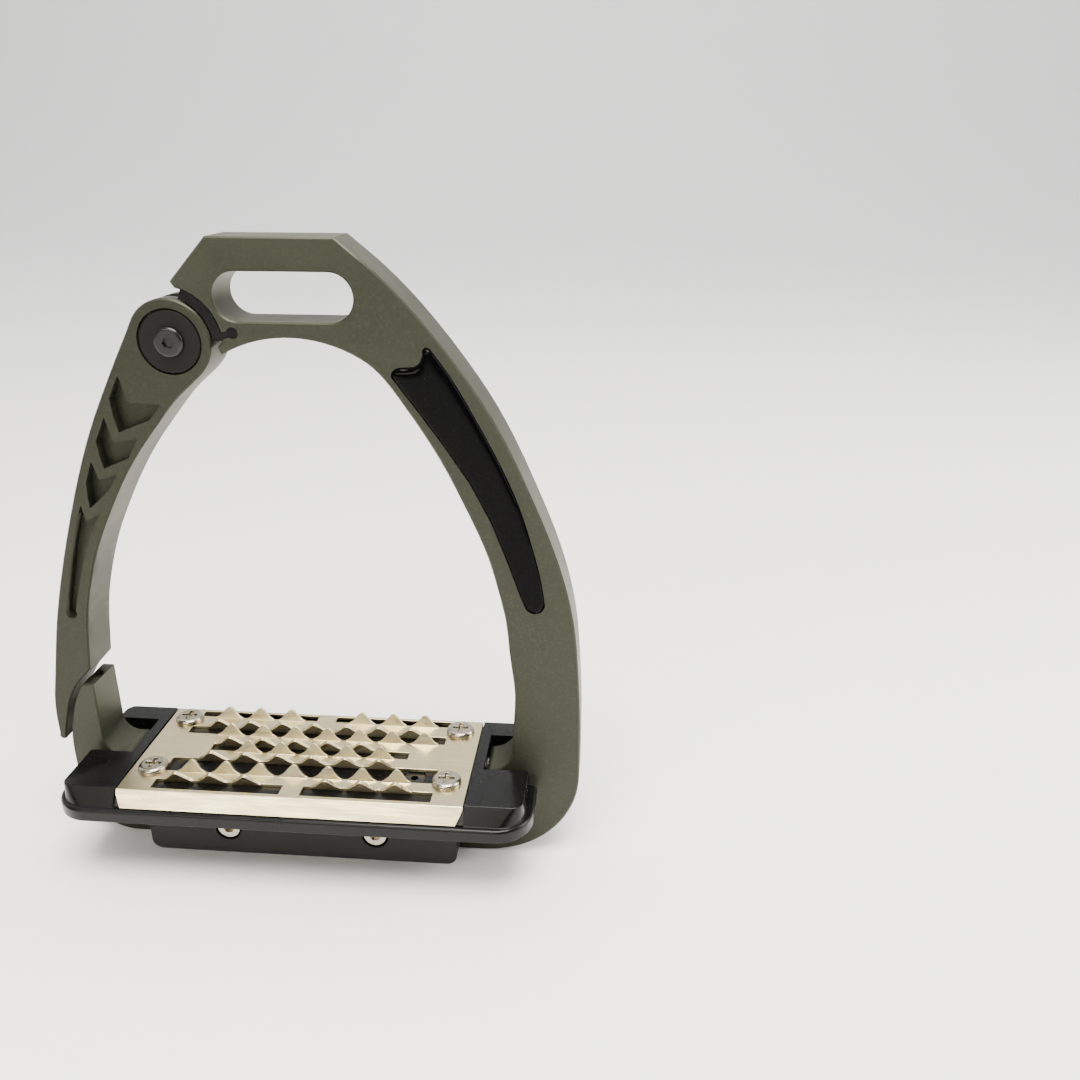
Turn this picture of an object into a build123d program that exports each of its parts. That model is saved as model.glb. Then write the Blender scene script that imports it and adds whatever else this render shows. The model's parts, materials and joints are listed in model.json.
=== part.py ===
from build123d import *
import os
from math import cos, radians, sin, sqrt

os.makedirs("parts", exist_ok=True)

# A safety stirrup iron for the left foot, in millimetres.
# X runs along the tread, Y from the front face of the frame to its rear, Z up.
# The origin is under the bar, in the middle of the inside width and of the frame's thickness.

# ---- overall sizes ------------------------------------------------------------------
inside_width = 120.0  # between the leg and the stub, at the tread
overall_height = 172.0
frame_thick = 12.65
leg_width = 17.7  # leg, seen from the front, just above the tread
edge_break = 0.4  # chamfer round the frame and the arm

# ---- head and leather slot ----------------------------------------------------------
head_right_x = 18.7
head_left_x = -12.1
nose_run = 9.8  # chamfer from the head down to the nose
nose_drop = 10.4
slot_x = 5.15
slot_drop = 13.7  # slot centre below the top
slot_length = 34.2
slot_height = 11.7
arch_drop = 23.3  # top of the inside arch below the top

# ---- pivot --------------------------------------------------------------------------
pivot_x = -23.9
pivot_drop = 24.7
arm_head_radius = 10.4
socket_radius = 13.2
socket_lap = 0.5  # cutters run this far past the socket's wall
lug_radius = 8.6
lug_thick = 4.0
lug_side_gap = 0.25
lug_rim_gap = 0.4
swing = 78.0  # how far the arm opens, degrees
neck_from = 3.0  # directions of the neck that joins the lug to the head, degrees
neck_to = 69.0
neck_margin = 6.0
fork_reach = 2.5  # the fork's cutter beyond the arm's head
pin_radius = 4.0
bush_wall = 1.0
pivot_running_gap = 0.05
disc_radius = 7.8
disc_thick = 1.1
disc_rim_gap = 0.3
disc_edge = 0.3
disc_recess = 1.35
disc_face_gap = 0.15
pivot_screw_radius = 1.5
pivot_screw_clearance = 0.1
pivot_screw_length = 4.6
button_radius = 3.8
button_height = 1.1
button_edge = 0.88
button_key = 2.5  # across flats
button_key_depth = 0.82

# ---- rubber buffer ------------------------------------------------------------------
buffer_thick = 2.4
buffer_face_inset = 0.25
buffer_from = 2.0
buffer_to = 71.0
bulb_radius = 1.4
bulb_reach = 16.2  # from the pivot to the bulb
bulb_direction = 8.5
bulb_neck = 1.6

# ---- leg inlay ----------------------------------------------------------------------
inlay_depth = 2.2
inlay_proud = 0.5

# ---- foot of the frame --------------------------------------------------------------
bar_height = 20.4
foot_top = 27.6
leg_foot_z = 40.0
leg_kink_inset = 2.0  # the leg's inside edge, inside the tread's width
leg_waist_inset = 0.3
leg_root_inset = 1.1
foot_step_inset = 8.45
right_corner = 27.0
left_corner = 15.6
stub_width = 9.9
stub_outset = 0.3  # the stub's inside face, beyond the tread's width
stub_top = 49.8
stub_waist_z = 27.0
stub_flat = 3.4
stub_fillet = 5.0
foot_step_gap = 0.6
magnet_radius = 2.0
magnet_length = 6.0
magnet_sink = 0.8
magnet_inset = 2.2

# ---- safety arm ---------------------------------------------------------------------
arm_foot_reach = 13.4  # outer edge of the arm's foot beyond the inside width
arm_foot_z = 36.5
skirt_gap = 1.1
skirt_tip_drop = 0.8
skirt_tip_rise = 1.0
chin_rise = 5.2  # the chin above the stub
chin_foot_run = 4.2
chin_foot_rise = 0.7
pocket_depth = 3.0

# ---- tread base ---------------------------------------------------------------------
tread_shift = -4.8  # the tread sits this far towards the front
lip_reach = 6.0  # lip beyond the inside width, each end
lip_depth = 49.0
lip_bottom = 21.2
lip_thick = 3.7
lip_corner = 10.0
lip_fillet = 1.0
ear_top = 29.6
ear_reach = 3.4
ear_depth = 40.5
ear_corner = 2.5
ear_side_draft = 0.9
ear_front_draft = 3.3
ear_root_corner = 8.0
ear_pocket_depth = 17.1
ear_pocket_y = 0.25
ear_wall = 3.3

# ---- tread plate --------------------------------------------------------------------
plate_thick = 1.0
plate_depth = 40.9
plate_gap = 0.35  # round the plate, to the ears
plate_sink = 0.27  # below the top of the ears
skirt_run = 2.9
skirt_drop = 4.2
skirt_taper = 1.75
plate_screw_inset = 6.05
plate_screw_front_edge = 10.2  # plate screws from the front and rear folds of the plate
plate_screw_rear_edge = 5.8
slit_inset = 9.0
bridge_width = 5.7
tab_height = 3.3
tab_lean = 22.0  # away from upright, degrees
tab_share = 0.86  # tab width to tab pitch
tab_waist = 0.45  # height of a tooth's half-width points

# ---- lower blocks and fasteners -----------------------------------------------------
block_length = 88.4
block_front = 17.8  # outer face of each block from the frame's middle
block_bottom = 3.7
block_corner = 3.0
block_bar_gap = 0.5
clamp_spacing = 42.2
clamp_z = 11.9
m4_radius = 2.0
m4_clearance = 0.15
socket_head_radius = 3.5
socket_head_height = 4.0
socket_head_edge = 0.4
socket_key = 3.0
socket_key_depth = 2.2
counterbore_gap = 0.3
counterbore_depth = 4.2
nut_flats = 7.0
nut_height = 3.2
nut_pocket_gap = 0.1
nut_pocket_depth = 3.6
sleeve_radius = 3.0
damper_radius = 4.5
pan_radius = 4.1
pan_height = 1.7
pan_edge = 1.275
pan_cross = 1.1
pan_cross_length = 4.6
pan_cross_depth = 1.0
insert_radius = 2.9
insert_end_gap = 0.6
base_screw_x = 32.0
base_screw_edge = 0.9  # between its head and the fold of the plate's rear skirt
base_screw_radius = 1.5
base_screw_head = 2.9
base_key = 2.0
base_key_depth = 1.5
base_screw_sink = 0.4
base_screw_length = 17.0

# ---- worked-out sizes ---------------------------------------------------------------
half_inside = inside_width / 2
half_thick = frame_thick / 2
pivot = Vector(pivot_x, overall_height - pivot_drop)
head_corner = Vector(head_right_x, overall_height)
leg_foot = Vector(half_inside + leg_width, leg_foot_z)
arm_foot = Vector(-half_inside - arm_foot_reach, arm_foot_z)
step_x = half_inside - foot_step_inset
pocket_wall_x = step_x - foot_step_gap
plate_half = pocket_wall_x - ear_wall
plate_top = ear_top - plate_sink
plate_under = plate_top - plate_thick
bush_radius = pin_radius + pivot_running_gap + bush_wall
recess_floor = half_thick - disc_recess
disc_back = recess_floor + disc_face_gap
disc_front = disc_back + disc_thick
block_inner = half_thick + block_bar_gap
screw_x = plate_half - plate_screw_inset
plate_screw_pitch_y = plate_depth - plate_screw_front_edge - plate_screw_rear_edge
plate_screw_y = tread_shift + (plate_screw_front_edge - plate_screw_rear_edge) / 2
base_screw_y = plate_depth / 2 + tread_shift - base_screw_head - base_screw_edge
slit_half = plate_half - slit_inset
tab_pitch = slit_half / 4
tab_half = tab_share * tab_pitch / 2


def off_chord(start, end, share, bow):
    """A point part of the way from start to end, stood off to the left of the line."""
    line = end - start
    left = Vector(-line.Y, line.X).normalized()
    return start + line * share + left * bow


def on_leg(share, bow):
    return off_chord(head_corner, leg_foot, share, bow)


def on_arm(share, bow):
    return off_chord(pivot, arm_foot, share, -bow)


def on_throat(share, bow):
    return off_chord(pivot, chin, share, -bow)


def on_stub(share, bow):
    return off_chord(stub_shoulder, stub_waist, share, -bow)


def from_pivot(radius, direction):
    return pivot + Vector(radius * cos(radians(direction)), radius * sin(radians(direction)))


def pie(radius, start, stop):
    """Sector of a disc about the pivot, as a face on the frame's plane."""
    with BuildSketch(Plane.XZ) as sector:
        with BuildLine():
            Line(pivot, from_pivot(radius, start))
            CenterArc(pivot, radius, start, stop - start)
            Line(from_pivot(radius, stop), pivot)
        make_face()
    return sector.sketch


# ---- leg inlay outline, shared by the inlays and their recesses ------------------------
inlay_tail_out = on_leg(0.2225, 9.3)
inlay_tail_in = on_leg(0.2235, 7.0)
inlay_heel = on_leg(0.236, -2.6)
inlay_toe_out = on_leg(0.712, 7.7)
inlay_toe_in = on_leg(0.7085, 2.25)
with BuildSketch(Plane.XZ) as inlay_outline:
    with BuildLine():
        Spline(
            inlay_tail_out,
            on_leg(0.274, 10.8),
            on_leg(0.355, 12.0),
            on_leg(0.445, 12.7),
            on_leg(0.528, 12.5),
            on_leg(0.600, 11.2),
            on_leg(0.672, 9.3),
            inlay_toe_out,
        )
        ThreePointArc(inlay_toe_out, on_leg(0.729, 4.8), inlay_toe_in)
        Spline(
            inlay_toe_in,
            on_leg(0.621, 3.2),
            on_leg(0.536, 3.9),
            on_leg(0.457, 3.4),
            on_leg(0.369, 1.4),
            on_leg(0.300, -0.6),
            inlay_heel,
        )
        Spline(inlay_heel, on_leg(0.227, -0.9), on_leg(0.236, 3.8), inlay_tail_in)
        ThreePointArc(inlay_tail_in, on_leg(0.215, 8.1), inlay_tail_out)
    make_face()

# ---- socket and keyhole for the buffer --------------------------------------------------
bulb_centre = from_pivot(bulb_reach, bulb_direction)
with BuildSketch(Plane.XZ) as keyhole:
    with Locations(bulb_centre):
        Circle(bulb_radius)
    with BuildLine():
        neck_line = Line(from_pivot(socket_radius - socket_lap, bulb_direction - 2), bulb_centre)
    trace(neck_line, line_width=bulb_neck)

# ---- frame: head, fixed leg, bar and stub in one forging ---------------------------------
nose_tip = Vector(head_left_x - nose_run, overall_height - nose_drop)
lip_tip = from_pivot(11.9, -5.0)
arch_start = from_pivot(13.0, -13.0)
arch_top = Vector(slot_x, overall_height - arch_drop)
arch_end = on_leg(0.190, -7.5)
kink = Vector(half_inside - leg_kink_inset, on_leg(0.7575, -5.91).Y)
kink_run = Vector(0.06, -1)
leg_root_x = half_inside - leg_root_inset
leg_root = Vector(leg_root_x, foot_top + leg_root_x - step_x)
leg_waist = Vector(half_inside - leg_waist_inset, (kink.Y + leg_root.Y) / 2)
shoulder_run = head_corner - on_leg(0.062, 4.4)
stub_in = -half_inside - stub_outset
stub_out = stub_in - stub_width
stub_shoulder = Vector(stub_in - stub_flat, stub_top)
stub_waist = Vector(stub_out, stub_waist_z)
with BuildPart() as frame:
    with BuildSketch(Plane.XZ):
        with BuildLine():
            Line((stub_out + left_corner, 0), (leg_foot.X - right_corner, 0))
            RadiusArc((leg_foot.X - right_corner, 0), (leg_foot.X, right_corner), -right_corner)
            Line((leg_foot.X, right_corner), leg_foot)
            Spline(
                leg_foot,
                on_leg(0.871, 7.5),
                on_leg(0.777, 12.1),
                on_leg(0.661, 15.3),
                on_leg(0.512, 16.4),
                on_leg(0.375, 15.9),
                on_leg(0.252, 13.0),
                on_leg(0.062, 4.4),
                head_corner,
                tangents=[(0, 1), shoulder_run.normalized()],
            )
            Polyline(head_corner, (head_left_x, overall_height), nose_tip, from_pivot(socket_radius, 77))
            CenterArc(pivot, socket_radius, 77, 0.5 - 77)
            Polyline(from_pivot(socket_radius, 0.5), lip_tip, arch_start)
            arch = ThreePointArc(arch_start, arch_top, arch_end)
            Spline(
                arch_end,
                on_leg(0.278, -3.2),
                on_leg(0.400, -0.8),
                on_leg(0.496, -0.4),
                on_leg(0.598, -0.9),
                on_leg(0.677, -2.8),
                kink,
                tangents=[arch % 1, kink_run],
            )
            Spline(kink, leg_waist, leg_root, tangents=[kink_run, (0, -1)])
            RadiusArc(leg_root, (step_x, foot_top), leg_root.X - step_x)
            Polyline(
                (step_x, foot_top),
                (step_x, bar_height),
                (-step_x, bar_height),
                (-step_x, foot_top),
                (stub_in + stub_fillet, foot_top),
            )
            RadiusArc((stub_in + stub_fillet, foot_top), (stub_in, foot_top + stub_fillet), stub_fillet)
            Polyline(
                (stub_in, foot_top + stub_fillet),
                (stub_in, stub_top),
                stub_shoulder,
            )
            Spline(
                stub_shoulder,
                on_stub(0.276, 1.46),
                on_stub(0.589, 1.53),
                stub_waist,
                tangents=[(-0.6, -0.8), (0, -1)],
            )
            Line(stub_waist, (stub_out, left_corner))
            RadiusArc((stub_out, left_corner), (stub_out + left_corner, 0), -left_corner)
        make_face()
        with Locations((slot_x, overall_height - slot_drop)):
            SlotOverall(slot_length, slot_height, mode=Mode.SUBTRACT)
    extrude(amount=half_thick, both=True)
    rims = frame.faces().filter_by(Axis.Y).sort_by(Axis.Y)
    chamfer(rims[0].edges() + rims[-1].edges(), length=edge_break)
    # socket side walls are cut back to the lug's thickness to take the buffers
    with BuildSketch(Plane.XZ):
        add(pie(socket_radius + socket_lap, neck_from, neck_to))
    with BuildSketch(Plane.XZ):
        with Locations(pivot):
            Circle(lug_radius)
    extrude(amount=lug_thick / 2, both=True)
    with BuildSketch(Plane.XZ):
        with Locations(pivot):
            Circle(pin_radius)
    extrude(amount=half_thick, both=True, mode=Mode.SUBTRACT)
    for face_y in (-half_thick, half_thick):
        with BuildSketch(Plane.XZ.offset(-face_y)):
            add(keyhole.sketch)
        cut_in = -1 if face_y < 0 else 1
        extrude(amount=cut_in * (half_thick - lug_thick / 2), mode=Mode.SUBTRACT)
        with BuildSketch(Plane.XZ.offset(-face_y)):
            add(inlay_outline.sketch)
        extrude(amount=cut_in * inlay_depth, mode=Mode.SUBTRACT)
    # cross holes for the dampers
    with BuildSketch(Plane.XZ):
        with Locations((-clamp_spacing / 2, clamp_z), (clamp_spacing / 2, clamp_z)):
            Circle(damper_radius)
    extrude(amount=half_thick, both=True, mode=Mode.SUBTRACT)
    # magnet seat in the top of the stub
    with BuildSketch(Plane.XY.offset(stub_top)):
        with Locations((stub_in - magnet_inset, 0)):
            Circle(magnet_radius)
    extrude(amount=-magnet_length - magnet_sink, mode=Mode.SUBTRACT)
frame.part.label = "frame"
export_step(frame.part, "parts/frame.step")

# ---- safety arm -----------------------------------------------------------------------
shoulder = from_pivot(arm_head_radius, 153)
armpit = from_pivot(arm_head_radius, -40)
chin = Vector(stub_in, stub_top + chin_rise)
chin_foot = Vector(stub_in - chin_foot_run, stub_top + chin_foot_rise)
skirt_end = on_stub(0.811, 1.42 + skirt_gap)
skirt_tip = Vector((arm_foot.X + skirt_end.X) / 2, skirt_end.Y - skirt_tip_drop)
skirt_start = Vector(arm_foot.X, skirt_end.Y + skirt_tip_rise)
with BuildSketch(Plane.XZ) as arm_outline:
    with BuildLine():
        CenterArc(pivot, arm_head_radius, -40, 193)
        Spline(
            shoulder,
            on_arm(0.059, arm_head_radius + 0.7),
            on_arm(0.131, arm_head_radius + 1.5),
            on_arm(0.251, 12.8),
            on_arm(0.372, 12.6),
            on_arm(0.495, 11.6),
            on_arm(0.623, 10.0),
            on_arm(0.752, 7.6),
            on_arm(0.885, 4.2),
            arm_foot,
            tangents=[(-0.454, -0.891), (0, -1)],
        )
        Line(arm_foot, skirt_start)
        ThreePointArc(skirt_start, skirt_tip, skirt_end)
        Spline(
            skirt_end,
            on_stub(0.578, 1.75 + skirt_gap),
            on_stub(0.274, 1.62 + skirt_gap),
            chin_foot,
            tangents=[(0.05, 1), (0.6, 0.8)],
        )
        Line(chin_foot, chin)
        Spline(
            chin,
            on_throat(0.910, 2.32),
            on_throat(0.814, 4.30),
            on_throat(0.715, 5.26),
            on_throat(0.616, 5.42),
            on_throat(0.515, 4.58),
            on_throat(0.416, 3.24),
            on_throat(0.313, 0.98),
            on_throat(0.209, 8.1 - arm_head_radius),
            on_throat(0.118, 4.7 - arm_head_radius),
            armpit,
            tangents=[(0.12, 1), (sin(radians(40)), cos(radians(40)))],
        )
    make_face()

# each pocket is an arrowhead: shoulder, point, far corner and the notch of its tail
chevrons = (
    (
        (0.113, arm_head_radius - 0.7),
        (0.166, arm_head_radius - 0.2),
        (0.198, 8.2),
        (0.229, 5.6),
        (0.176, -0.7),
        (0.133, -2.4),
        (0.157, 5.2),
    ),
    ((0.211, 10.2), (0.269, 10.5), (0.297, 8.7), (0.321, 6.7), (0.276, 1.6), (0.225, 0.7), (0.255, 6.3)),
    ((0.318, 10.4), (0.368, 10.2), (0.400, 8.8), (0.423, 7.4), (0.364, 4.0), (0.321, 3.1), (0.350, 7.1)),
)
with BuildSketch(Plane.XZ) as arm_pockets:
    for chevron in chevrons:
        with BuildLine():
            Polyline([on_arm(share, bow) for share, bow in chevron], close=True)
        make_face()
    tail = on_arm(0.425, 10.0)
    tip = on_arm(0.426, 4.6)
    heel_out = on_arm(0.693, 6.2)
    heel_in = on_arm(0.683, 3.7)
    with BuildLine():
        Spline(tail, on_arm(0.524, 9.2), on_arm(0.599, 7.9), heel_out)
        ThreePointArc(heel_out, on_arm(0.706, 4.7), heel_in)
        Spline(heel_in, on_arm(0.590, 5.0), on_arm(0.532, 5.4), tip)
        Polyline(tip, on_arm(0.456, 7.5), tail)
    make_face()

slot_half = lug_thick / 2 + lug_side_gap
with BuildPart() as safety_arm:
    add(extrude(arm_outline.sketch, amount=half_thick, both=True, mode=Mode.PRIVATE))
    arm_rims = safety_arm.faces().filter_by(Axis.Y).sort_by(Axis.Y)
    chamfer(arm_rims[0].edges() + arm_rims[-1].edges(), length=edge_break)
    # fork for the lug and its neck
    with BuildSketch(Plane.XZ):
        with Locations(pivot):
            Circle(lug_radius + lug_rim_gap)
        add(pie(arm_head_radius + fork_reach, neck_from - neck_margin, neck_to + swing + neck_margin))
    extrude(amount=slot_half, both=True, mode=Mode.SUBTRACT)
    with BuildSketch(Plane.XZ):
        with Locations(pivot):
            Circle(bush_radius)
    extrude(amount=half_thick, both=True, mode=Mode.SUBTRACT)
    for face_y in (-half_thick, half_thick):
        cut_in = -1 if face_y < 0 else 1
        with BuildSketch(Plane.XZ.offset(-face_y)):
            with Locations(pivot):
                Circle(disc_radius + disc_rim_gap)
        extrude(amount=cut_in * disc_recess, mode=Mode.SUBTRACT)
        with BuildSketch(Plane.XZ.offset(-face_y)):
            add(arm_pockets.sketch)
        extrude(amount=cut_in * pocket_depth, mode=Mode.SUBTRACT)
    chin_middle = (chin + chin_foot) / 2
    chin_line = (chin - chin_foot).normalized()
    chin_plane = Plane(
        origin=(chin_middle.X, 0, chin_middle.Y),
        x_dir=(0, 1, 0),
        z_dir=(-chin_line.Y, 0, chin_line.X),
    )
    with BuildSketch(chin_plane):
        Circle(magnet_radius)
    extrude(amount=magnet_length + magnet_sink, mode=Mode.SUBTRACT)
safety_arm.part.label = "safety_arm"
export_step(safety_arm.part, "parts/safety_arm.step")

# ---- magnets that hold the arm shut --------------------------------------------------------
with BuildPart() as stub_magnet:
    with BuildSketch(Plane.XY.offset(stub_top - magnet_sink)):
        with Locations((stub_in - magnet_inset, 0)):
            Circle(magnet_radius)
    extrude(amount=-magnet_length)
stub_magnet.part.label = "stub_magnet"
export_step(stub_magnet.part, "parts/stub_magnet.step")

with BuildPart() as arm_magnet:
    with BuildSketch(chin_plane.offset(magnet_sink)):
        Circle(magnet_radius)
    extrude(amount=magnet_length)
arm_magnet.part.label = "arm_magnet"
export_step(arm_magnet.part, "parts/arm_magnet.step")

# ---- pivot: pin pressed in the lug, a bush in each cheek, a disc and a screw each side --------
with BuildPart() as pivot_pin:
    with BuildSketch(Plane.XZ):
        with Locations(pivot):
            Circle(pin_radius)
            Circle(pivot_screw_radius, mode=Mode.SUBTRACT)
    extrude(amount=disc_back, both=True)
pivot_pin.part.label = "pivot_pin"
export_step(pivot_pin.part, "parts/pivot_pin.step")

for side, side_name in ((-1, "front"), (1, "rear")):
    outward = -side  # the sketch plane's normal points to the front
    with BuildPart() as pivot_bush:
        with BuildSketch(Plane.XZ.offset(outward * slot_half)):
            with Locations(pivot):
                Circle(bush_radius)
                Circle(pin_radius + pivot_running_gap, mode=Mode.SUBTRACT)
        extrude(amount=outward * (recess_floor - slot_half))
    pivot_bush.part.label = "pivot_bush_" + side_name
    export_step(pivot_bush.part, "parts/pivot_bush_" + side_name + ".step")

    with BuildPart() as pivot_disc:
        with BuildSketch(Plane.XZ.offset(outward * disc_back)):
            with Locations(pivot):
                Circle(disc_radius)
        extrude(amount=outward * disc_thick)
        disc_rim = pivot_disc.faces().sort_by(Axis.Y)[0 if side < 0 else -1].edges()
        chamfer(disc_rim, length=disc_edge)
        with BuildSketch(Plane.XZ):
            with Locations(pivot):
                Circle(pivot_screw_radius + pivot_screw_clearance)
        extrude(amount=half_thick, both=True, mode=Mode.SUBTRACT)
    pivot_disc.part.label = "pivot_disc_" + side_name
    export_step(pivot_disc.part, "parts/pivot_disc_" + side_name + ".step")

    with BuildPart() as pivot_screw:
        with BuildSketch(Plane.XZ.offset(outward * disc_front)):
            with Locations(pivot):
                Circle(button_radius)
        extrude(amount=outward * button_height)
        button_rim = pivot_screw.faces().sort_by(Axis.Y)[0 if side < 0 else -1].edges()
        fillet(button_rim, radius=button_edge)
        with BuildSketch(Plane.XZ.offset(outward * disc_front)):
            with Locations(pivot):
                Circle(pivot_screw_radius)
        extrude(amount=-outward * pivot_screw_length)
        with BuildSketch(Plane.XZ.offset(outward * (disc_front + button_height))):
            with Locations(pivot):
                RegularPolygon(button_key / 2, 6, major_radius=False)
        extrude(amount=-outward * button_key_depth, mode=Mode.SUBTRACT)
    pivot_screw.part.label = "pivot_screw_" + side_name
    export_step(pivot_screw.part, "parts/pivot_screw_" + side_name + ".step")

    with BuildPart() as buffer:
        with BuildSketch(Plane.XZ.offset(outward * lug_thick / 2)):
            add(pie(socket_radius, buffer_from, buffer_to))
            with Locations(pivot):
                Circle(socket_radius - buffer_thick, mode=Mode.SUBTRACT)
            add(keyhole.sketch)
        extrude(amount=outward * (half_thick - buffer_face_inset - lug_thick / 2))
    buffer.part.label = "buffer_" + side_name
    export_step(buffer.part, "parts/buffer_" + side_name + ".step")

    with BuildPart() as leg_inlay:
        with BuildSketch(Plane.XZ.offset(outward * (half_thick - inlay_depth))):
            add(inlay_outline.sketch)
        extrude(amount=outward * (inlay_depth + inlay_proud))
    leg_inlay.part.label = "leg_inlay_" + side_name
    export_step(leg_inlay.part, "parts/leg_inlay_" + side_name + ".step")

# ---- tread base: a moulded tray with an ear at each end, open round the frame's feet ------------
lip_top = lip_bottom + lip_thick
lip_half = half_inside + lip_reach
ear_half = half_inside + ear_reach
seat_flat_front = tread_shift - plate_depth / 2
seat_flat_rear = tread_shift + plate_depth / 2
with BuildPart() as tread_base:
    with BuildSketch(Plane.XY.offset(lip_bottom)):
        with Locations((0, tread_shift)):
            RectangleRounded(2 * lip_half, lip_depth, lip_corner)
    extrude(amount=lip_thick)
    fillet(tread_base.faces().sort_by(Axis.Z)[-1].edges(), radius=lip_fillet)
    with BuildSketch(Plane.XY.offset(lip_top - lip_fillet)):
        with Locations((0, tread_shift)):
            RectangleRounded(
                2 * (ear_half + ear_side_draft), ear_depth + 2 * ear_front_draft, ear_root_corner
            )
    with BuildSketch(Plane.XY.offset(ear_top)):
        with Locations((0, tread_shift)):
            RectangleRounded(2 * ear_half, ear_depth, ear_corner)
    loft()
    # seat for the plate, with its sloping front and rear
    slope = sqrt(skirt_run**2 + skirt_drop**2)
    slope_in = plate_thick * (slope - skirt_run) / skirt_drop
    seat_run = skirt_run / skirt_drop * (plate_under - lip_top)
    with BuildSketch(Plane.YZ):
        with BuildLine():
            Polyline(
                (seat_flat_front - lip_depth, lip_top),
                (seat_flat_front + slope_in - seat_run, lip_top),
                (seat_flat_front + slope_in, plate_under),
                (seat_flat_rear - slope_in, plate_under),
                (seat_flat_rear - slope_in + seat_run, lip_top),
                (seat_flat_rear + lip_depth, lip_top),
                (seat_flat_rear + lip_depth, ear_top + lip_thick),
                (seat_flat_front - lip_depth, ear_top + lip_thick),
                close=True,
            )
        make_face()
    extrude(amount=plate_half + plate_gap, both=True, mode=Mode.SUBTRACT)
    # pockets that let the tread float round the frame's feet
    ear_length = lip_half - pocket_wall_x + lip_fillet
    with BuildSketch(Plane.XY.offset(lip_bottom)):
        with Locations(
            (pocket_wall_x + ear_length / 2, ear_pocket_y), (-pocket_wall_x - ear_length / 2, ear_pocket_y)
        ):
            Rectangle(ear_length, ear_pocket_depth)
    extrude(amount=ear_top, mode=Mode.SUBTRACT)
    with BuildSketch(Plane.XY.offset(lip_bottom)):
        with Locations((0, plate_screw_y)):
            with GridLocations(2 * screw_x, plate_screw_pitch_y, 2, 2):
                Circle(insert_radius)
        with GridLocations(2 * base_screw_x, 2 * base_screw_y, 2, 2):
            Circle(base_screw_radius + m4_clearance)
    extrude(amount=plate_under, mode=Mode.SUBTRACT)
    with BuildSketch(Plane.XY.offset(plate_under - base_screw_sink)):
        with GridLocations(2 * base_screw_x, 2 * base_screw_y, 2, 2):
            Circle(base_screw_head + counterbore_gap)
    extrude(amount=ear_top, mode=Mode.SUBTRACT)
    with BuildSketch(Plane.XY.offset(plate_under - base_screw_sink)):
        with GridLocations(2 * base_screw_x, 2 * base_screw_y, 2, 2):
            Circle(base_screw_head)
    extrude(amount=-base_screw_head + base_screw_radius, taper=45, mode=Mode.SUBTRACT)
tread_base.part.label = "tread_base"
export_step(tread_base.part, "parts/tread_base.step")

# ---- tread plate: four bars of bent-up teeth between slits ---------------------------------------
# each row of teeth: fold line across the plate's depth, side it leans to, first tooth, count in pitches
tooth_rows = (
    (0.411, 1, -3.10, 3),
    (0.411, 1, 1.15, 3),
    (0.279, -1, -3.16, 7),
    (0.188, 1, -2.68, 7),
    (0.071, -1, -2.48, 5),
    (-0.010, 1, -1.84, 5),
    (-0.115, -1, -2.75, 6),
    (-0.269, 1, -3.12, 7),
    (-0.367, -1, -3.36, 3),
    (-0.367, -1, 0.97, 3),
)
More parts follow.
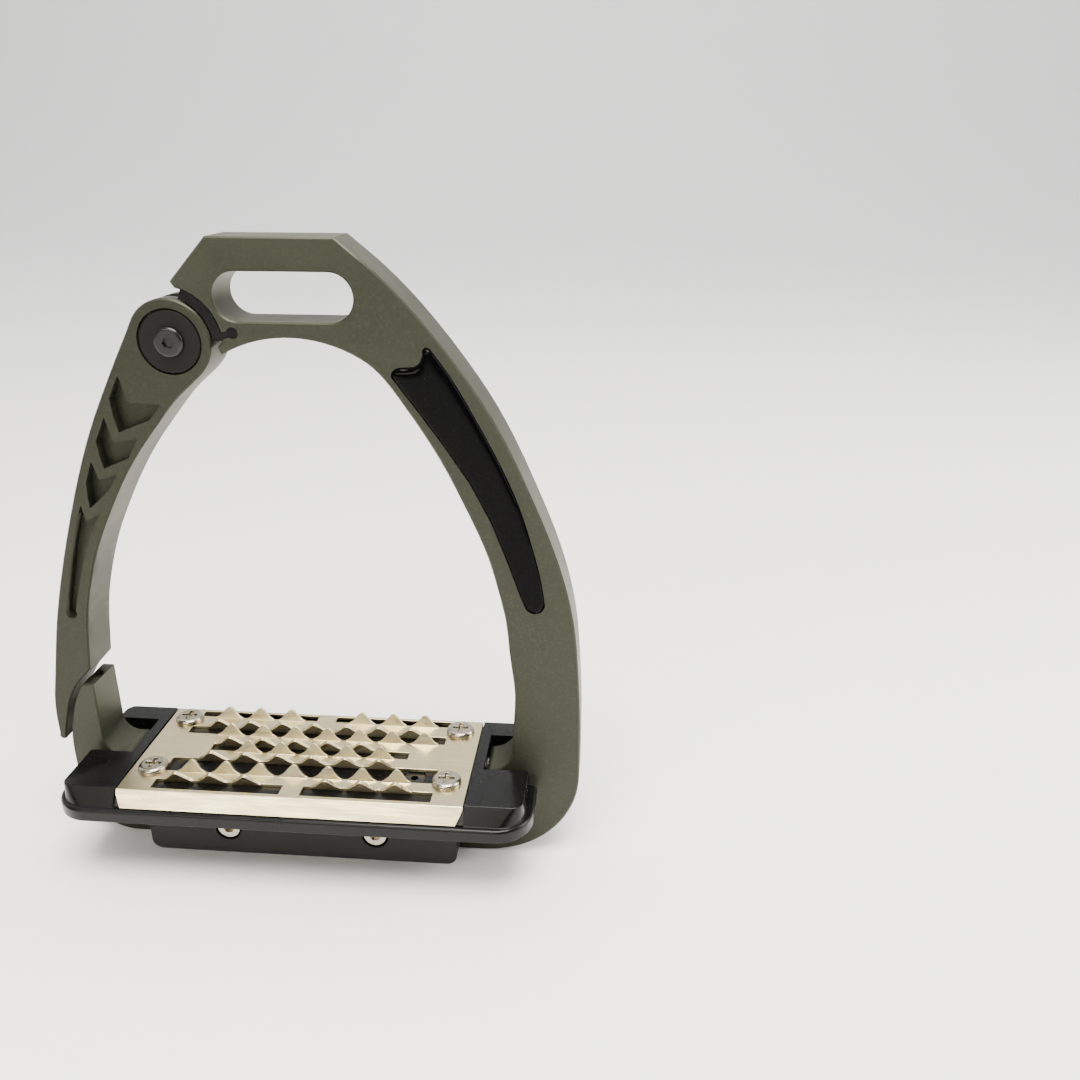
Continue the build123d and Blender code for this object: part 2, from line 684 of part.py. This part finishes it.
# each slit: front and rear edges across the depth, left and right ends as shares of the half length
bridge = bridge_width / 2 / slit_half
slits = (
    (0.411, 0.479, -1.0, -bridge),
    (0.411, 0.479, bridge, 1.0),
    (0.188, 0.279, -1.02, 0.98),
    (-0.010, 0.071, -0.76, 0.74),
    (-0.269, -0.115, -0.99, 0.99),
    (-0.469, -0.367, -1.0, -bridge),
    (-0.469, -0.367, bridge, 1.0),
)
with BuildPart() as tread_plate:
    skirt_slope = skirt_run / skirt_drop
    skirt_deep = 3 * skirt_drop
    with BuildSketch(Plane.YZ):
        with BuildLine():
            Polyline(
                (seat_flat_front - skirt_deep * skirt_slope, plate_top - skirt_deep),
                (seat_flat_front, plate_top),
                (seat_flat_rear, plate_top),
                (seat_flat_rear + skirt_deep * skirt_slope, plate_top - skirt_deep),
                close=True,
            )
        make_face()
        offset(amount=-plate_thick, kind=Kind.INTERSECTION, mode=Mode.SUBTRACT)
        with Locations((tread_shift, plate_top - skirt_drop - skirt_deep)):
            Rectangle(2 * plate_depth, 2 * skirt_deep, mode=Mode.SUBTRACT)
    extrude(amount=plate_half, both=True)
    for end in (-1, 1):
        with BuildSketch(Plane.XZ):
            with BuildLine():
                Polyline(
                    (end * plate_half, plate_under),
                    (end * (plate_half - skirt_taper), plate_top - skirt_drop),
                    (end * plate_half, plate_top - 2 * skirt_drop),
                    (end * (plate_half + skirt_drop), plate_under - skirt_drop),
                    close=True,
                )
            make_face()
        extrude(amount=plate_depth, both=True, mode=Mode.SUBTRACT)
    with BuildSketch(Plane.XY.offset(plate_under)):
        for front, rear, left, right in slits:
            with Locations(((left + right) / 2 * slit_half, tread_shift + (front + rear) / 2 * plate_depth)):
                Rectangle((right - left) * slit_half, (rear - front) * plate_depth)
        with Locations((0, plate_screw_y)):
            with GridLocations(2 * screw_x, plate_screw_pitch_y, 2, 2):
                Circle(m4_radius + m4_clearance)
    extrude(amount=plate_thick, mode=Mode.SUBTRACT)
    for fold, lean, first, count in tooth_rows:
        for tooth in range(count):
            tooth_plane = Plane(
                origin=((first + tooth) * tab_pitch, tread_shift + fold * plate_depth, plate_under),
                x_dir=(1, 0, 0),
                z_dir=(0, -cos(radians(tab_lean)), lean * sin(radians(tab_lean))),
            )
            with BuildSketch(tooth_plane):
                with BuildLine():
                    Spline(
                        (-tab_half, plate_thick),
                        (-tab_half / 2, plate_thick + tab_height * tab_waist),
                        (0, plate_thick + tab_height),
                        (tab_half / 2, plate_thick + tab_height * tab_waist),
                        (tab_half, plate_thick),
                        tangents=[(1, 0.3), (1, -0.3)],
                    )
                    Polyline((tab_half, plate_thick), (tab_half, 0), (-tab_half, 0), (-tab_half, plate_thick))
                make_face()
            extrude(amount=lean * plate_thick)
tread_plate.part.label = "tread_plate"
export_step(tread_plate.part, "parts/tread_plate.step")

# ---- plate screws and the inserts they pull into ---------------------------------------------------
insert_length = plate_under - lip_bottom - insert_end_gap
with BuildPart() as plate_inserts:
    with BuildSketch(Plane.XY.offset(plate_under)):
        with Locations((0, plate_screw_y)):
            with GridLocations(2 * screw_x, plate_screw_pitch_y, 2, 2):
                Circle(insert_radius)
                Circle(m4_radius, mode=Mode.SUBTRACT)
    extrude(amount=-insert_length)
plate_inserts.part.label = "plate_inserts"
export_step(plate_inserts.part, "parts/plate_inserts.step")

with BuildPart() as plate_screws:
    with BuildSketch(Plane.XY.offset(plate_top)):
        with Locations((0, plate_screw_y)):
            with GridLocations(2 * screw_x, plate_screw_pitch_y, 2, 2):
                Circle(pan_radius)
    extrude(amount=pan_height)
    fillet(plate_screws.edges().group_by(Axis.Z)[-1], radius=pan_edge)
    with BuildSketch(Plane.XY.offset(plate_top)):
        with Locations((0, plate_screw_y)):
            with GridLocations(2 * screw_x, plate_screw_pitch_y, 2, 2):
                Circle(m4_radius)
    extrude(amount=-plate_thick - insert_length)
    with BuildSketch(Plane.XY.offset(plate_top + pan_height)):
        with Locations((0, plate_screw_y)):
            with GridLocations(2 * screw_x, plate_screw_pitch_y, 2, 2):
                Rectangle(pan_cross_length, pan_cross)
                Rectangle(pan_cross, pan_cross_length)
    extrude(amount=-pan_cross_depth, mode=Mode.SUBTRACT)
plate_screws.part.label = "plate_screws"
export_step(plate_screws.part, "parts/plate_screws.step")

# ---- lower blocks: one each side of the bar, pulled together through it --------------------------
block_depth = block_front - block_inner
block_height = lip_bottom - block_bottom
for side, side_name in ((-1, "front"), (1, "rear")):
    with BuildPart() as lower_block:
        with BuildSketch(Plane.XZ.offset(-side * block_inner)):
            with Locations((0, block_bottom + block_height / 2)):
                Rectangle(block_length, block_height)
        extrude(amount=-side * block_depth)
        low_ends = lower_block.edges().filter_by(Axis.Y).group_by(Axis.Z)[0]
        fillet(low_ends, radius=block_corner)
        with BuildSketch(Plane.XZ):
            with Locations((-clamp_spacing / 2, clamp_z), (clamp_spacing / 2, clamp_z)):
                Circle(m4_radius + m4_clearance)
        extrude(amount=block_front, both=True, mode=Mode.SUBTRACT)
        with BuildSketch(Plane.XZ.offset(-side * block_front)):
            with Locations((-clamp_spacing / 2, clamp_z), (clamp_spacing / 2, clamp_z)):
                if side < 0:
                    Circle(socket_head_radius + counterbore_gap)
                else:
                    RegularPolygon(nut_flats / 2 + nut_pocket_gap, 6, major_radius=False)
        extrude(amount=side * (counterbore_depth if side < 0 else nut_pocket_depth), mode=Mode.SUBTRACT)
        with BuildSketch(Plane.XY.offset(lip_bottom)):
            with Locations((-base_screw_x, side * base_screw_y), (base_screw_x, side * base_screw_y)):
                Circle(base_screw_radius)
        extrude(amount=-base_screw_length, mode=Mode.SUBTRACT)
    lower_block.part.label = "lower_block_" + side_name
    export_step(lower_block.part, "parts/lower_block_" + side_name + ".step")

clamp_places = ((-clamp_spacing / 2, clamp_z), (clamp_spacing / 2, clamp_z))
head_seat = block_front - counterbore_depth
nut_seat = block_front - nut_pocket_depth
with BuildPart() as clamp_screws:
    with BuildSketch(Plane.XZ.offset(head_seat)):
        with Locations(*clamp_places):
            Circle(socket_head_radius)
    extrude(amount=socket_head_height)
    chamfer(clamp_screws.edges().group_by(Axis.Y)[0], length=socket_head_edge)
    with BuildSketch(Plane.XZ.offset(head_seat)):
        with Locations(*clamp_places):
            Circle(m4_radius)
    extrude(amount=-head_seat - nut_seat - nut_height)
    with BuildSketch(Plane.XZ.offset(head_seat + socket_head_height)):
        with Locations(*clamp_places):
            RegularPolygon(socket_key / 2, 6, major_radius=False)
    extrude(amount=-socket_key_depth, mode=Mode.SUBTRACT)
clamp_screws.part.label = "clamp_screws"
export_step(clamp_screws.part, "parts/clamp_screws.step")

with BuildPart() as clamp_nuts:
    with BuildSketch(Plane.XZ.offset(-nut_seat)):
        with Locations(*clamp_places):
            RegularPolygon(nut_flats / 2, 6, major_radius=False)
            Circle(m4_radius, mode=Mode.SUBTRACT)
    extrude(amount=-nut_height)
clamp_nuts.part.label = "clamp_nuts"
export_step(clamp_nuts.part, "parts/clamp_nuts.step")

# ---- dampers: rubber in the bar, a steel sleeve in the rubber --------------------------------------
with BuildPart() as damper_bushes:
    with BuildSketch(Plane.XZ):
        with Locations(*clamp_places):
            Circle(damper_radius)
            Circle(sleeve_radius, mode=Mode.SUBTRACT)
    extrude(amount=half_thick, both=True)
damper_bushes.part.label = "damper_bushes"
export_step(damper_bushes.part, "parts/damper_bushes.step")

with BuildPart() as damper_sleeves:
    with BuildSketch(Plane.XZ):
        with Locations(*clamp_places):
            Circle(sleeve_radius)
            Circle(m4_radius + m4_clearance, mode=Mode.SUBTRACT)
    extrude(amount=block_inner, both=True)
damper_sleeves.part.label = "damper_sleeves"
export_step(damper_sleeves.part, "parts/damper_sleeves.step")

# ---- countersunk screws that hold the base down on the blocks --------------------------------------
with BuildPart() as base_screws:
    with BuildSketch(Plane.XY.offset(plate_under - base_screw_sink)):
        with GridLocations(2 * base_screw_x, 2 * base_screw_y, 2, 2):
            Circle(base_screw_head)
    extrude(amount=-base_screw_head + base_screw_radius, taper=45)
    with BuildSketch(Plane.XY.offset(plate_under - base_screw_sink)):
        with GridLocations(2 * base_screw_x, 2 * base_screw_y, 2, 2):
            Circle(base_screw_radius)
    extrude(amount=-base_screw_length)
    with BuildSketch(Plane.XY.offset(plate_under - base_screw_sink)):
        with GridLocations(2 * base_screw_x, 2 * base_screw_y, 2, 2):
            RegularPolygon(base_key / 2, 6, major_radius=False)
    extrude(amount=-base_key_depth, mode=Mode.SUBTRACT)
base_screws.part.label = "base_screws"
export_step(base_screws.part, "parts/base_screws.step")
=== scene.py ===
"""A safety stirrup iron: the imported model, with softened edges and real finishes."""

import json
import math

import bmesh
import bpy
from mathutils import Matrix, Vector


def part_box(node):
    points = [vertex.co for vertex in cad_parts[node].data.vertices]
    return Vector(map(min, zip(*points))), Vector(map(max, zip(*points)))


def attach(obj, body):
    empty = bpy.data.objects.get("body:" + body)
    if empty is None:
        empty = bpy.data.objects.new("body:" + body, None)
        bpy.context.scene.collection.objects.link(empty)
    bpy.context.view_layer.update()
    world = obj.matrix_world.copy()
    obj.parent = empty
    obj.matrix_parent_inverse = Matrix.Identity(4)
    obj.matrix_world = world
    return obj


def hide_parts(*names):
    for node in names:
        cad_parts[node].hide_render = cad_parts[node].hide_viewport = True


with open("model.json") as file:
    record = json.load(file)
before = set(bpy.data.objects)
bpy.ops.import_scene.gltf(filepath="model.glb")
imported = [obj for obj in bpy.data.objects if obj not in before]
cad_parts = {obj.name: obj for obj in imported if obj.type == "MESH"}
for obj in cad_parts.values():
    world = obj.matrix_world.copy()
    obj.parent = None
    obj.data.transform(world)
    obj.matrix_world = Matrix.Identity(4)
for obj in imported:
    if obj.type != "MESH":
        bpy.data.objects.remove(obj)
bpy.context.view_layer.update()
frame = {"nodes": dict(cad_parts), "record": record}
MM = 0.001
WELD = 0.002 * MM  # corners closer than this are one corner
FLAT = math.radians(0.6)  # neighbouring faces this close in direction are one face


# ---- shader building blocks -----------------------------------------------------------

def new_finish(name):
    """An empty node material: its tree, its shader and a reader of object coordinates."""
    finish = bpy.data.materials.new(name)
    finish.use_nodes = True
    tree = finish.node_tree
    shader = tree.nodes["Principled BSDF"]
    place = tree.nodes.new("ShaderNodeTexCoord").outputs["Object"]
    return finish, tree, shader, place


def noise(tree, place, scale, detail=3.0, rough=0.5, stretch=None):
    """Fractal noise, cells per metre, with an optional stretch along the axes."""
    if stretch:
        mapping = tree.nodes.new("ShaderNodeMapping")
        mapping.inputs["Scale"].default_value = stretch
        tree.links.new(place, mapping.inputs["Vector"])
        place = mapping.outputs["Vector"]
    node = tree.nodes.new("ShaderNodeTexNoise")
    node.inputs["Scale"].default_value = scale
    node.inputs["Detail"].default_value = detail
    node.inputs["Roughness"].default_value = rough
    tree.links.new(place, node.inputs["Vector"])
    return node.outputs["Fac"]


def spread(tree, value, low, high, to_low=0.0, to_high=1.0):
    """Map a value from one range to another, clamped."""
    node = tree.nodes.new("ShaderNodeMapRange")
    node.inputs["From Min"].default_value = low
    node.inputs["From Max"].default_value = high
    node.inputs["To Min"].default_value = to_low
    node.inputs["To Max"].default_value = to_high
    tree.links.new(value, node.inputs["Value"])
    return node.outputs["Result"]


def two_tone(tree, factor, first, second):
    """Mix two colours by a factor socket."""
    node = tree.nodes.new("ShaderNodeMix")
    node.data_type = "RGBA"
    for socket, colour in (("A", first), ("B", second)):
        target = [s for s in node.inputs if s.name == socket and s.type == "RGBA"][0]
        if isinstance(colour, tuple):
            target.default_value = (*colour, 1.0)
        else:
            tree.links.new(colour, target)
    tree.links.new(factor, node.inputs["Factor"])
    return [s for s in node.outputs if s.type == "RGBA"][0]


def bump(tree, heights):
    """Stack bumps: each is a height socket, a strength and a depth in millimetres."""
    normal = None
    for height, strength, depth in heights:
        node = tree.nodes.new("ShaderNodeBump")
        node.inputs["Strength"].default_value = strength
        node.inputs["Distance"].default_value = depth * MM
        tree.links.new(height, node.inputs["Height"])
        if normal:
            tree.links.new(normal, node.inputs["Normal"])
        normal = node.outputs["Normal"]
    return normal


def worn_edge(tree, low, high):
    """Bright along outer edges, from the pointiness of the mesh."""
    geometry = tree.nodes.new("ShaderNodeNewGeometry")
    return spread(tree, geometry.outputs["Pointiness"], low, high)


# ---- finishes -------------------------------------------------------------------------

def satin_paint(name, base, light, metallic, rough):
    """Bead-blasted alloy under a thin dark coat: fine grain, soft sheen, paler edges."""
    finish, tree, shader, place = new_finish(name)
    grain = noise(tree, place, 1500.0, 2.0, 0.6)
    cloud = noise(tree, place, 55.0, 3.0, 0.55)
    tone = two_tone(tree, spread(tree, cloud, 0.30, 0.70), base, light)
    speck = two_tone(tree, spread(tree, grain, 0.50, 0.72, 0.0, 0.5), tone, tuple(1.6 * c for c in light))
    rubbed = two_tone(tree, worn_edge(tree, 0.535, 0.64), speck, tuple(1.35 * c for c in light))
    tree.links.new(rubbed, shader.inputs["Base Color"])
    tree.links.new(spread(tree, cloud, 0.25, 0.75, rough - 0.05, rough + 0.06), shader.inputs["Roughness"])
    shader.inputs["Metallic"].default_value = metallic
    shader.inputs["Specular IOR Level"].default_value = 0.30
    shader.inputs["Specular Tint"].default_value = (1.0, 0.98, 0.78, 1.0)
    tree.links.new(bump(tree, [(grain, 0.5, 0.05), (cloud, 0.15, 0.05)]), shader.inputs["Normal"])
    return finish


def moulded(name, base, light, rough, coat=0.0, sheen=0.16):
    """Moulded black plastic or coated block: faint leathered grain and handling haze."""
    finish, tree, shader, place = new_finish(name)
    grain = noise(tree, place, 1500.0, 2.0, 0.5)
    haze = noise(tree, place, 90.0, 4.0, 0.6)
    tone = two_tone(tree, spread(tree, haze, 0.35, 0.70), base, light)
    rubbed = two_tone(tree, worn_edge(tree, 0.54, 0.66), tone, tuple(2.2 * c for c in light))
    tree.links.new(rubbed, shader.inputs["Base Color"])
    tree.links.new(spread(tree, haze, 0.30, 0.70, rough - 0.06, rough + 0.08), shader.inputs["Roughness"])
    shader.inputs["Coat Weight"].default_value = coat
    shader.inputs["Coat Roughness"].default_value = 0.12
    shader.inputs["Specular IOR Level"].default_value = sheen
    tree.links.new(bump(tree, [(grain, 0.25, 0.04)]), shader.inputs["Normal"])
    return finish


def glossy_black(name):
    """Poured black resin: deep gloss over a slightly uneven skin."""
    finish, tree, shader, place = new_finish(name)
    ripple = noise(tree, place, 120.0, 2.0, 0.5)
    dust = noise(tree, place, 1800.0, 2.0, 0.6)
    specks = spread(tree, dust, 0.62, 0.80, 0.0, 0.5)
    tone = two_tone(tree, specks, (0.0010, 0.0010, 0.0012), (0.012, 0.012, 0.012))
    tree.links.new(tone, shader.inputs["Base Color"])
    tree.links.new(spread(tree, ripple, 0.3, 0.7, 0.07, 0.13), shader.inputs["Roughness"])
    shader.inputs["Specular IOR Level"].default_value = 0.05
    tree.links.new(bump(tree, [(ripple, 0.10, 0.12)]), shader.inputs["Normal"])
    return finish


def rubber(name):
    """Black rubber with a dry bloom."""
    finish, tree, shader, place = new_finish(name)
    bloom = noise(tree, place, 400.0, 4.0, 0.6)
    tree.links.new(
        two_tone(tree, spread(tree, bloom, 0.4, 0.7), (0.0015, 0.0015, 0.0015), (0.005, 0.005, 0.0048)),
        shader.inputs["Base Color"],
    )
    shader.inputs["Roughness"].default_value = 0.38
    shader.inputs["Specular IOR Level"].default_value = 0.12
    tree.links.new(bump(tree, [(bloom, 0.2, 0.05)]), shader.inputs["Normal"])
    return finish


def brushed(name, base, light, rough, stretch):
    """Rolled stainless: fine lines along the sheet and a warm, patchy tone."""
    finish, tree, shader, place = new_finish(name)
    lines = noise(tree, place, 900.0, 3.0, 0.65, stretch)
    patch = noise(tree, place, 70.0, 3.0, 0.6)
    tone = two_tone(tree, spread(tree, patch, 0.3, 0.7), base, light)
    lined = two_tone(tree, spread(tree, lines, 0.35, 0.75, 0.0, 0.4), tone, tuple(0.72 * c for c in base))
    tree.links.new(lined, shader.inputs["Base Color"])
    tree.links.new(spread(tree, lines, 0.3, 0.7, rough - 0.06, rough + 0.08), shader.inputs["Roughness"])
    shader.inputs["Metallic"].default_value = 1.0
    tree.links.new(bump(tree, [(lines, 0.30, 0.02)]), shader.inputs["Normal"])
    return finish


FRAME_PAINT = satin_paint(
    "olive_satin_paint", (0.0190, 0.0212, 0.0146), (0.0215, 0.0240, 0.0166), metallic=0.30, rough=0.42
)
ARM_PAINT = satin_paint(
    "dark_olive_satin_paint", (0.0135, 0.0152, 0.0103), (0.0160, 0.0180, 0.0122), metallic=0.25, rough=0.44
)
BLACK_DISC = moulded(
    "black_anodised_disc", (0.005, 0.0048, 0.0042), (0.008, 0.0077, 0.0068), 0.38, sheen=0.12
)
BLACK_SCREW = moulded("black_screw_steel", (0.004, 0.004, 0.004), (0.008, 0.008, 0.008), 0.22, sheen=0.32)
BASE_BLACK = moulded(
    "black_moulded_tray", (0.002, 0.002, 0.0021), (0.0035, 0.0035, 0.0037), 0.30, coat=0.08
)
BLOCK_BLACK = moulded("black_block", (0.004, 0.004, 0.0038), (0.0065, 0.0065, 0.0062), 0.42)
INLAY = glossy_black("glossy_black_resin")
RUBBER = rubber("black_rubber")
PLATE = brushed("rolled_stainless", (0.62, 0.53, 0.32), (0.72, 0.63, 0.40), 0.30, (0.06, 1.0, 1.0))
STEEL = brushed("turned_steel", (0.33, 0.295, 0.23), (0.46, 0.42, 0.34), 0.24, (1.0, 1.0, 0.2))
BRASS = brushed("turned_brass", (0.50, 0.36, 0.14), (0.58, 0.43, 0.19), 0.30, (1.0, 0.2, 1.0))
NICKEL = brushed("nickel_plate", (0.55, 0.54, 0.51), (0.62, 0.61, 0.58), 0.22, (1.0, 1.0, 1.0))

FINISHES = {
    "frame_paint": FRAME_PAINT,
    "arm_paint": ARM_PAINT,
    "black_disc": BLACK_DISC,
    "black_screw": BLACK_SCREW,
    "black_rubber": RUBBER,
    "inlay_gloss": INLAY,
    "base_black": BASE_BLACK,
    "block_black": BLOCK_BLACK,
    "plate_steel": PLATE,
    "steel": STEEL,
    "brass_insert": BRASS,
    "magnet_nickel": NICKEL,
}
SLOT_OF = {p["node"]: p["material_slot"] for p in frame["record"]["subparts"]}
BODY_OF = {node: body for body, nodes in frame["record"]["behaviour"]["bodies"].items() for node in nodes}


# ---- pieces ---------------------------------------------------------------------------

def dress(piece, finish):
    piece.data.materials.clear()
    piece.data.materials.append(finish)


def merged_copy(node):
    """The node's shape as one closed mesh of flat faces, ready to be shaped."""
    shape = bmesh.new()
    shape.from_mesh(frame["nodes"][node].data)
    bmesh.ops.remove_doubles(shape, verts=shape.verts, dist=WELD)
    bmesh.ops.dissolve_limit(
        shape, angle_limit=FLAT, verts=shape.verts, edges=shape.edges, delimit={"NORMAL"}
    )
    return shape


def finish_piece(shape, name, node, soften=0.0, segments=2, sharp=28.0):
    """Make the piece, soften its edges, and put it in the node's place."""
    mesh = bpy.data.meshes.new(name)
    shape.to_mesh(mesh)
    shape.free()
    piece = bpy.data.objects.new(name, mesh)
    bpy.context.scene.collection.objects.link(piece)
    if soften:
        bevel = piece.modifiers.new("soft_edges", "BEVEL")
        bevel.width = soften * MM
        bevel.segments = segments
        bevel.limit_method = "ANGLE"
        bevel.angle_limit = math.radians(sharp)
        bevel.miter_outer = "MITER_ARC"
        bevel.use_clamp_overlap = True
    for face in mesh.polygons:
        face.use_smooth = True
    mesh.set_sharp_from_angle(angle=math.radians(sharp))
    level = piece.modifiers.new("flat_faces", "WEIGHTED_NORMAL")
    level.weight = 100
    level.keep_sharp = True
    dress(piece, FINISHES[SLOT_OF[node]])
    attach(piece, BODY_OF[node])
    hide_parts(node)
    return piece


# width in millimetres and steps of each piece's rounded edges; the castings keep their own chamfers
SOFT_EDGES = {
    "frame": (0.0, 2),
    "safety_arm": (0.0, 2),
    "tread_base": (0.35, 2),
    "tread_plate": (0.18, 2),
    "lower_block_front": (0.5, 3),
    "lower_block_rear": (0.5, 3),
    "plate_screws": (0.15, 2),
    "clamp_screws": (0.15, 2),
    "pivot_disc_front": (0.12, 2),
    "pivot_disc_rear": (0.12, 2),
    "pivot_screw_front": (0.12, 2),
    "pivot_screw_rear": (0.12, 2),
    "buffer_front": (0.35, 3),
    "buffer_rear": (0.35, 3),
}
for node, (width, segments) in SOFT_EDGES.items():
    finish_piece(merged_copy(node), node + "_soft", node, width, segments)


def between(table, share):
    """Straight-line reading of a table of (share, value) pairs."""
    for (a, first), (b, second) in zip(table, table[1:]):
        if share <= b:
            return first + (second - first) * max(0.0, (share - a) / (b - a))
    return table[-1][1]


# the leg's chord, from the head's corner to the foot, and the inlay's edges stood off it
HEAD_CORNER = Vector((18.7, 0.0, 172.0)) * MM
LEG_FOOT = Vector((77.7, 0.0, 40.0)) * MM
INLAY_OUTER = (
    (0.205, 9.0), (0.2225, 9.25), (0.274, 10.75), (0.355, 11.95), (0.445, 12.65), (0.528, 12.45),
    (0.600, 11.15), (0.672, 9.25), (0.712, 7.65), (0.7215, 6.7), (0.7285, 5.3),
)
INLAY_INNER = (
    (0.205, -1.9), (0.240, -2.4), (0.300, -0.55), (0.369, 1.45), (0.457, 3.45), (0.536, 3.95),
    (0.621, 3.25), (0.691, 2.3), (0.7085, 2.3), (0.7195, 2.9), (0.7285, 4.3),
)
TAIL_SHARE = (
    (0.0, 0.234), (0.1, 0.2275), (0.2, 0.228), (0.35, 0.233), (0.5, 0.2365),
    (0.65, 0.234), (0.8, 0.2235), (0.9, 0.2158), (1.0, 0.2218),
)
TOE_SHARE = 0.7285


def domed_inlay(node, face_sign):
    """The resin in the leg: a long fish-tailed pillow, sunk at its rim and crowned along its middle."""
    along, across = 80, 21
    chord = LEG_FOOT - HEAD_CORNER
    outward = Vector((-chord.z, 0.0, chord.x)).normalized()
    low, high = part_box(node)
    face_y = low.y if face_sign < 0 else high.y
    crown, sunk = 0.35 * MM, 0.5 * MM
    rim_width, skirt_depth = 0.7, 0.6 * MM
    shape = bmesh.new()
    bmesh.ops.create_grid(shape, x_segments=along, y_segments=across, size=0.5)
    for vert in shape.verts:
        run, side = vert.co.x + 0.5, vert.co.y + 0.5
        start = between(TAIL_SHARE, side)
        share = start + (TOE_SHARE - start) * run
        inner, outer = between(INLAY_INNER, share), between(INLAY_OUTER, share)
        edge = min(side, 1.0 - side) * (outer - inner)
        end = min(share - start, TOE_SHARE - share) * chord.length / MM
        swell = 1.0 - math.exp(-min(edge, end) / rim_width)
        bow = inner + side * (outer - inner)
        place = HEAD_CORNER + chord * share + outward * bow * MM
        place.y = face_y + face_sign * (crown * swell - sunk * (1.0 - swell))
        vert.co = place
    rim = [edge for edge in shape.edges if edge.is_boundary]
    skirt = bmesh.ops.extrude_edge_only(shape, edges=rim)
    for item in skirt["geom"]:
        if isinstance(item, bmesh.types.BMVert):
            item.co.y -= face_sign * skirt_depth
    bmesh.ops.holes_fill(shape, edges=[e for e in shape.edges if e.is_boundary], sides=0)
    bmesh.ops.recalc_face_normals(shape, faces=shape.faces)
    return finish_piece(shape, node + "_domed", node, 0.0, 2, 60.0)


domed_inlay("leg_inlay_front", -1)
domed_inlay("leg_inlay_rear", 1)

for node, piece in frame["nodes"].items():
    if node not in SOFT_EDGES and not node.startswith("leg_inlay"):
        dress(piece, FINISHES[SLOT_OF[node]])


# ---- floor, light and camera ------------------------------------------------------------

def stage_floor():
    """A pale sweep: flat under the piece, curving up well behind it."""
    flat, bend, rise, half = 1.6, 1.2, 3.0, 6.0
    profile = [(-half, 0.0)]
    for step in range(17):
        turn = math.radians(90.0 * step / 16)
        profile.append((flat + bend * math.sin(turn), bend * (1.0 - math.cos(turn))))
    profile.append((flat + bend, bend + rise))
    shape = bmesh.new()
    left = [shape.verts.new((-half, y, z)) for y, z in profile]
    for first, second in zip(left, left[1:]):
        shape.edges.new((first, second))
    bmesh.ops.extrude_edge_only(shape, edges=shape.edges[:])
    for vert in shape.verts:
        if vert not in left:
            vert.co.x = half
    bmesh.ops.recalc_face_normals(shape, faces=shape.faces)
    mesh = bpy.data.meshes.new("floor")
    shape.to_mesh(mesh)
    shape.free()
    for face in mesh.polygons:
        face.use_smooth = True
    sweep = bpy.data.objects.new("floor", mesh)
    bpy.context.scene.collection.objects.link(sweep)
    finish, tree, shader, place = new_finish("pale_floor")
    shader.inputs["Base Color"].default_value = (0.93, 0.93, 0.93, 1.0)
    shader.inputs["Roughness"].default_value = 0.8
    dress(sweep, finish)


def soft_box(name, place, aim, size, power, colour=(1.0, 1.0, 1.0)):
    light = bpy.data.lights.new(name, "AREA")
    light.shape = "RECTANGLE"
    light.size, light.size_y = size
    light.energy = power
    light.color = colour
    lamp = bpy.data.objects.new(name, light)
    lamp.location = place
    lamp.rotation_euler = (Vector(aim) - Vector(place)).to_track_quat("-Z", "Y").to_euler()
    bpy.context.scene.collection.objects.link(lamp)


def camera():
    """Standing a little right of straight on, looking down on the tread."""
    azimuth, elevation, roll = math.radians(4.5535), math.radians(22.0915), math.radians(0.1465)
    place = Vector((84.655, -234.194, 191.439)) * MM
    back = Vector(
        (
            math.sin(azimuth) * math.cos(elevation),
            -math.cos(azimuth) * math.cos(elevation),
            math.sin(elevation),
        )
    )
    right = Vector((math.cos(azimuth), math.sin(azimuth), 0.0))
    up = back.cross(right)
    turned_right = right * math.cos(roll) + up * math.sin(roll)
    turned_up = up * math.cos(roll) - right * math.sin(roll)
    lens = bpy.data.cameras.new("camera")
    lens.sensor_width = 36.0
    lens.lens = 32.31
    lens.clip_start = 0.01
    eye = bpy.data.objects.new("camera", lens)
    turn = Matrix((turned_right, turned_up, back)).transposed()
    eye.matrix_world = Matrix.Translation(place) @ turn.to_4x4()
    bpy.context.scene.collection.objects.link(eye)
    bpy.context.scene.camera = eye


DIM_FRONT = 0.25
WHITE_SWEEP = 2.1


def room_light():
    """A white sweep behind and above, with the dim room in front."""
    world = bpy.data.worlds.new("studio")
    world.use_nodes = True
    tree = world.node_tree
    background = tree.nodes["Background"]
    background.inputs["Color"].default_value = (1.0, 0.995, 0.98, 1.0)
    direction = tree.nodes.new("ShaderNodeTexCoord").outputs["Generated"]
    parts = tree.nodes.new("ShaderNodeSeparateXYZ")
    tree.links.new(direction, parts.inputs["Vector"])
    behind = spread(tree, parts.outputs["Y"], -0.35, 0.30, DIM_FRONT, WHITE_SWEEP)
    tree.links.new(behind, background.inputs["Strength"])
    bpy.context.scene.world = world


stage_floor()
room_light()
soft_box("key", (0.10, -0.30, 1.00), (0.0, 0.0, 0.05), (0.7, 0.5), 30.0, (1.0, 0.965, 0.90))
soft_box("side", (0.95, 0.10, 0.50), (0.0, 0.0, 0.08), (0.5, 0.6), 10.0, (1.0, 0.98, 0.94))
soft_box("front", (-0.32, -0.88, 0.54), (0.0, 0.0, 0.03), (0.6, 0.22), 5.0, (1.0, 0.95, 0.82))
soft_box("backdrop", (0.0, 0.9, 2.4), (0.0, 2.8, 1.3), (3.5, 1.2), 70.0)
camera()
